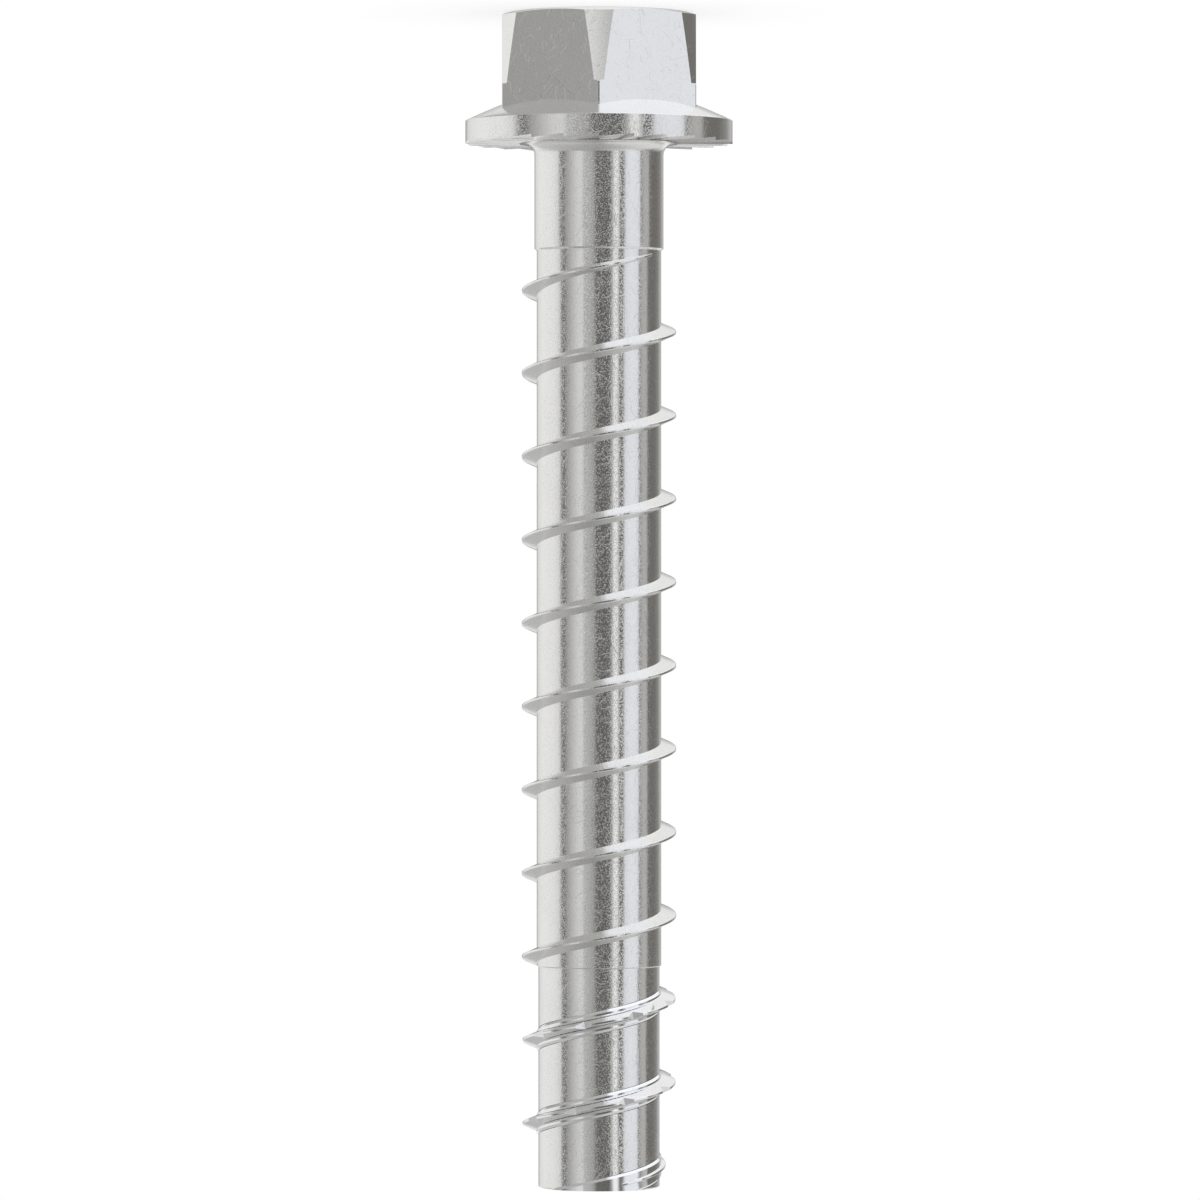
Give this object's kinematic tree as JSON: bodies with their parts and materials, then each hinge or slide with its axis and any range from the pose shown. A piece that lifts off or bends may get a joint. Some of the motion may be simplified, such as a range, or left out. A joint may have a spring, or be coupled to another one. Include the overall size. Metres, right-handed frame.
{
  "type": "concrete screw",
  "caption": "Stainless concrete screw: hexagon head on a toothed flange, plain shank, coarse rolled thread and a notched cutting coil brazed into the tip.",
  "frame": {"origin": "centre of the head's flat top face, on which the screw stands tip up", "axes": "+Z along the screw's axis from the head to the tip; -Y through one corner of the hexagon"},
  "size_m": [0.0264, 0.0264, 0.1155],
  "materials": {
    "stainless_steel": "bright drawn stainless steel with fine random scratches",
    "hardened_steel": "bright hardened steel with ground notches"
  },
  "bodies": {
    "root": {"screw_body": "stainless_steel", "cutting_coil": "hardened_steel"}
  },
  "joints": []
}
